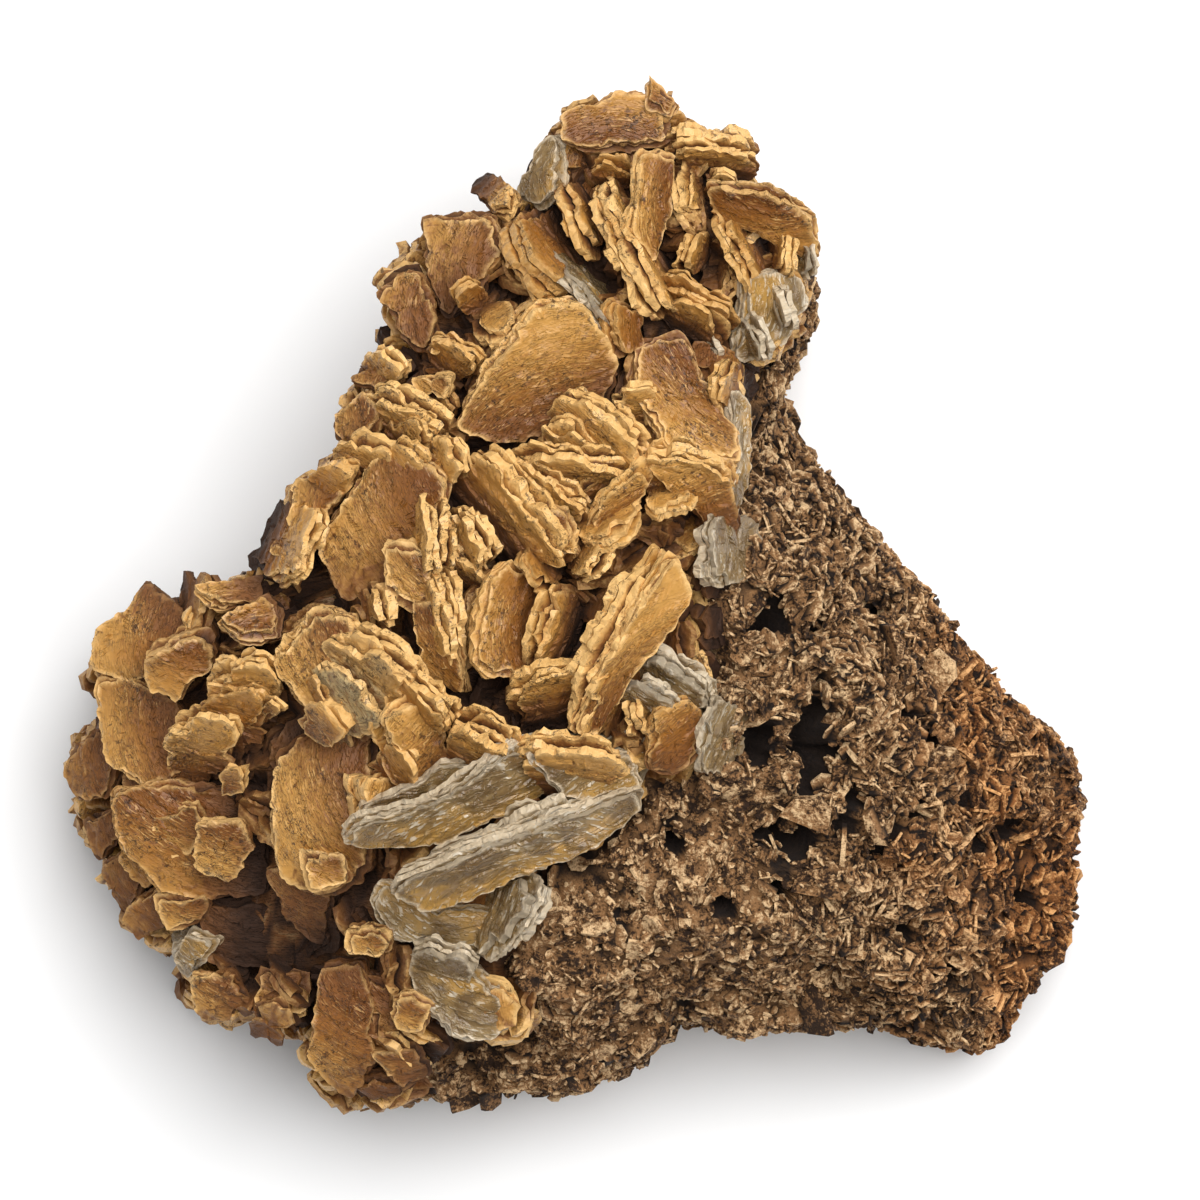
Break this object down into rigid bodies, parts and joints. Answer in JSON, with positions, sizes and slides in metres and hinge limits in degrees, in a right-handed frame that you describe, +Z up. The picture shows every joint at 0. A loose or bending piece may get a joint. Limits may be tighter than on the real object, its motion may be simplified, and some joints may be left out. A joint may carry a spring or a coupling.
{
  "type": "barite specimen",
  "caption": "Mineral specimen: a crust of honey-coloured bladed barite crystals grown over a lump of brown, finely crystalline rock with a flat base.",
  "frame": {"origin": "middle of the bounding box, on the plane of the flat base", "axes": "+Z up from the base, +X towards the bare rock, +Y towards the upper lobe of crystals"},
  "size_m": [0.1307, 0.1322, 0.0653],
  "materials": {
    "rock": "rough brown rock of fine flat crystals, sandy and unpolished",
    "barite": "glossy to waxy honey-yellow blades with paler edges, some clear and grey"
  },
  "bodies": {
    "root": {"matrix": "rock", "barite_crust": "barite"}
  },
  "joints": []
}
